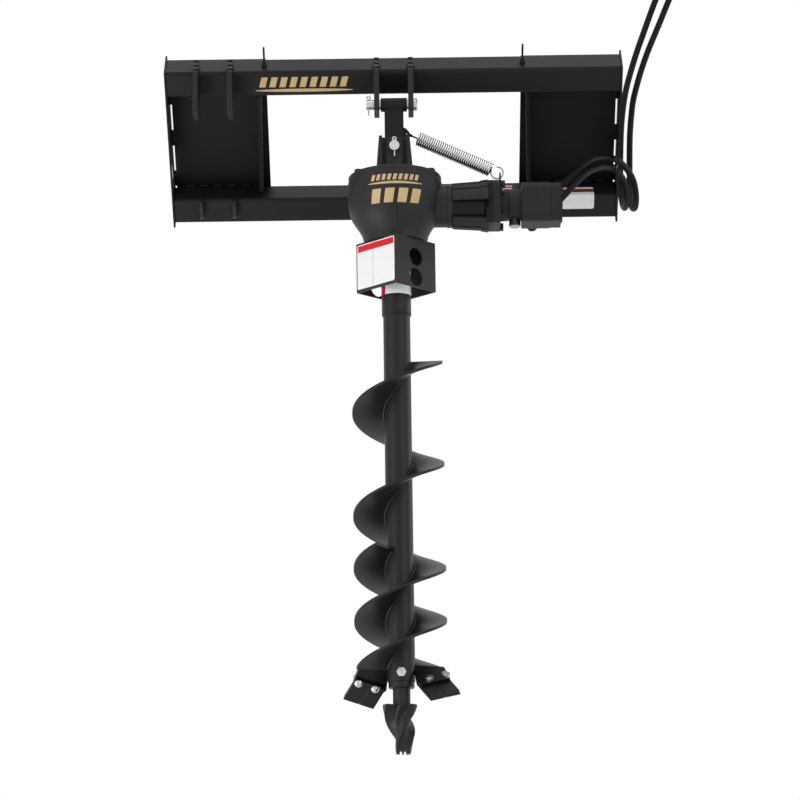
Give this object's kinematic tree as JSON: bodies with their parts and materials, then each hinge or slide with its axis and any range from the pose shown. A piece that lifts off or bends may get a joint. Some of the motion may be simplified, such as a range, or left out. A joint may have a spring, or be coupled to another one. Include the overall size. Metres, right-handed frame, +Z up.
{
  "type": "post hole digger",
  "caption": "Hydraulic post hole digger on a leaning skid-steer hitch frame: a hung gearbox with motor, guard, spring and a flighted auger with cutting blades and a pilot bit.",
  "frame": {"origin": "centre of the hitch frame on the back plane of its two quick-attach plates, where a loader carries it", "axes": "+X to the right seen from the digging side, +Y back towards the loader, +Z up; the auger hangs plumb along Z and the hitch frame leans forward by 49.5 degrees about X"},
  "size_m": [1.3816, 0.6042, 2.1764],
  "materials": {
    "black_coat": "satin black powder coat",
    "zinc": "bright zinc plate",
    "raw_steel": "machined steel",
    "gear_steel": "hardened and ground, oiled",
    "bronze": "plain bronze",
    "seal_rubber": "matte",
    "hose_rubber": "fine cloth-wrapped cover, satin",
    "spring_steel": "bright zinc plated wire"
  },
  "bodies": {
    "frame": {"top_beam": "black_coat", "bottom_beam": "black_coat", "left_hitch_plate": "black_coat", "right_hitch_plate": "black_coat", "left_end_plate": "black_coat", "right_end_plate": "black_coat", "left_inner_rib": "black_coat", "right_inner_rib": "black_coat", "centre_ear_left": "black_coat", "centre_ear_right": "black_coat", "side_ear_left": "black_coat", "side_ear_right": "black_coat", "lower_lugs": "black_coat", "hose_hooks": "black_coat", "hitch_pin": "zinc", "hitch_pin_cotter": "zinc", "hose_couplers": "zinc", "pressure_hose": "hose_rubber", "return_hose": "hose_rubber"},
    "link": {"link_tube": "black_coat", "link_bar": "black_coat", "link_spring_tab": "black_coat", "link_bushings": "bronze"},
    "gearbox": {"gearbox_housing": "black_coat", "gearbox_cover": "black_coat", "cover_bolts": "zinc", "swing_pin": "zinc", "swing_pin_cotter": "zinc", "output_bearings": "gear_steel", "pinion_bearings": "gear_steel", "output_seal": "seal_rubber", "input_seal": "seal_rubber", "motor_adaptor": "black_coat", "motor_front_housing": "black_coat", "motor_gear_ring": "black_coat", "motor_end_cap": "black_coat", "motor_bolts": "zinc", "spring_anchor": "black_coat", "port_plug": "black_coat", "hose_fittings": "zinc", "guard": "black_coat", "guard_bolts": "zinc", "tension_spring": "spring_steel"},
    "input": {"pinion_shaft": "gear_steel", "shaft_coupling": "raw_steel", "motor_shaft": "raw_steel"},
    "auger": {"crown_gear": "gear_steel", "output_shaft": "raw_steel", "drive_hub": "black_coat", "hub_bolts": "zinc", "auger_tube": "black_coat", "bit_socket": "black_coat", "tooth_brackets": "black_coat", "main_flight": "black_coat", "second_flight": "black_coat", "right_blade": "black_coat", "left_blade": "black_coat", "blade_bolts": "zinc", "pilot_bit": "black_coat", "bit_bolt": "zinc"}
  },
  "joints": [
    {"name": "hitch_swing", "type": "hinge", "parent": "frame", "child": "link", "pos_m": [0, -0.21971, -0.00303], "axis": [1, 0, 0], "range_deg": [-50, 35], "deforming": ["pressure_hose", "return_hose"]},
    {"name": "side_swing", "type": "hinge", "parent": "link", "child": "gearbox", "pos_m": [0, -0.21971, -0.12663], "axis": [0, 1, 0], "range_deg": [-20, 20], "deforming": ["tension_spring", "pressure_hose", "return_hose"]},
    {"name": "auger_spin", "type": "hinge", "parent": "gearbox", "child": "auger", "pos_m": [0, -0.21971, -0.42663], "axis": [0, 0, 1], "continuous": true},
    {"name": "input_spin", "type": "hinge", "parent": "gearbox", "child": "input", "pos_m": [0.1, -0.21971, -0.27403], "axis": [1, 0, 0], "continuous": true}
  ],
  "couplings": [
    {"joint": "input_spin", "follows": "auger_spin", "ratio": 3}
  ]
}
